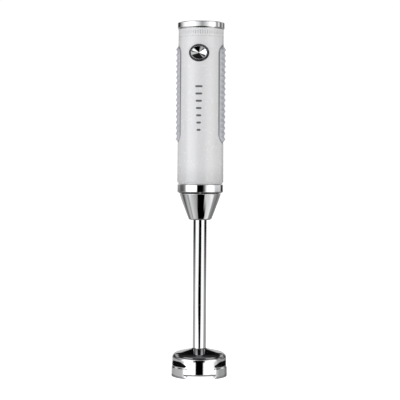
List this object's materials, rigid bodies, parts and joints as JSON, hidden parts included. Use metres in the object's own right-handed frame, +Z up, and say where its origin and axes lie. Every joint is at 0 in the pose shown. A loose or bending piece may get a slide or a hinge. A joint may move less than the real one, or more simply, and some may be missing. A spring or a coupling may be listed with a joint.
{
  "type": "immersion blender",
  "caption": "Stick blender with a round white handle, ribbed side grips, a chrome push button and a detachable steel leg ending in a windowed bell round a two-wing blade.",
  "frame": {"origin": "centre of the bell's mouth, on the blender's axis, level with the bell's feet", "axes": "+Z up the blender's axis from the bell to the top cap; the push button faces -Y; +X is the right-hand grip seen from the button's side"},
  "size_m": [0.0612, 0.0612, 0.3896],
  "materials": {
    "mirror_steel": "mirror polished stainless steel",
    "chrome_trim": "bright chrome plate",
    "blade_steel": "ground stainless steel",
    "steel": "plain steel",
    "white_gloss": "glossy cool-white plastic",
    "silver_satin": "satin silver paint on a moulded grip",
    "grey_plastic": "moulded",
    "black_plastic": "moulded",
    "rubber": "soft matte",
    "bronze": "sintered bronze",
    "copper": "enamelled copper wire",
    "laminations": "stacked electrical steel",
    "magnet": "sintered ferrite",
    "carbon": "pressed carbon",
    "board": "green solder mask"
  },
  "bodies": {
    "leg": {"bell": "mirror_steel", "bell_hub": "grey_plastic", "shaft_tube": "mirror_steel", "leg_cone": "chrome_trim", "leg_neck": "grey_plastic", "lower_bush": "bronze", "upper_bush": "bronze", "shaft_seal": "rubber"},
    "spindle": {"drive_shaft": "steel", "leg_coupling": "black_plastic", "blade": "blade_steel", "blade_nut": "blade_steel", "blade_spacer": "steel"},
    "gasket": {"collar_gasket": "rubber"},
    "handle": {"housing_tube": "white_gloss", "grip_right": "silver_satin", "grip_left": "silver_satin", "vent_ring": "white_gloss", "top_cap": "chrome_trim", "cord_gland": "rubber", "collar": "chrome_trim", "leg_socket": "grey_plastic", "grip_screw_lower_right": "steel", "grip_screw_lower_left": "steel", "grip_screw_upper_right": "steel", "grip_screw_upper_left": "steel", "socket_screw_right": "steel", "socket_screw_left": "steel", "button_bezel": "chrome_trim", "button_spring": "steel", "switch_body": "black_plastic", "chassis": "black_plastic", "motor_cradle": "black_plastic", "circuit_board": "board", "capacitor": "grey_plastic", "bridge_rectifier": "black_plastic", "cord_clamp": "black_plastic", "clamp_screw_right": "steel", "clamp_screw_left": "steel", "motor_can": "steel", "magnet_right": "magnet", "magnet_left": "magnet", "motor_end_plate": "black_plastic", "brush_holder_right": "bronze", "brush_holder_left": "bronze", "brush_right": "carbon", "brush_left": "carbon", "upper_bracket": "steel", "lower_bearing": "bronze", "upper_bearing": "bronze", "lower_damper": "rubber", "upper_damper": "rubber"},
    "button": {"power_button": "chrome_trim"},
    "plunger": {"switch_plunger": "white_gloss"},
    "rotor": {"armature_core": "laminations", "armature_winding": "copper", "commutator": "copper", "motor_shaft": "steel", "fan": "grey_plastic", "drive_coupling": "black_plastic"}
  },
  "joints": [
    {"name": "handle_lift", "type": "slide", "parent": "leg", "child": "gasket", "axis": [0, 0, 1], "range_m": [0, 0.035]},
    {"name": "handle_twist", "type": "hinge", "parent": "gasket", "child": "handle", "pos_m": [0, 0, 0.21], "axis": [0, 0, 1], "range_deg": [0, 30]},
    {"name": "button_press", "type": "slide", "parent": "handle", "child": "button", "axis": [0, 1, 0], "range_m": [0, 0.0024], "stiffness_N_per_m": 800, "springref_m": -0.0015, "deforming": ["button_spring"]},
    {"name": "plunger_press", "type": "slide", "parent": "handle", "child": "plunger", "axis": [0, 1, 0], "range_m": [0, 0.0024]},
    {"name": "rotor_spin", "type": "hinge", "parent": "handle", "child": "rotor", "pos_m": [0, 0, 0.27], "axis": [0, 0, 1], "continuous": true},
    {"name": "blade_spin", "type": "hinge", "parent": "leg", "child": "spindle", "pos_m": [0, 0, 0.1], "axis": [0, 0, 1], "continuous": true}
  ],
  "couplings": [
    {"joint": "plunger_press", "follows": "button_press", "ratio": 1},
    {"joint": "blade_spin", "follows": "rotor_spin", "ratio": 1}
  ]
}
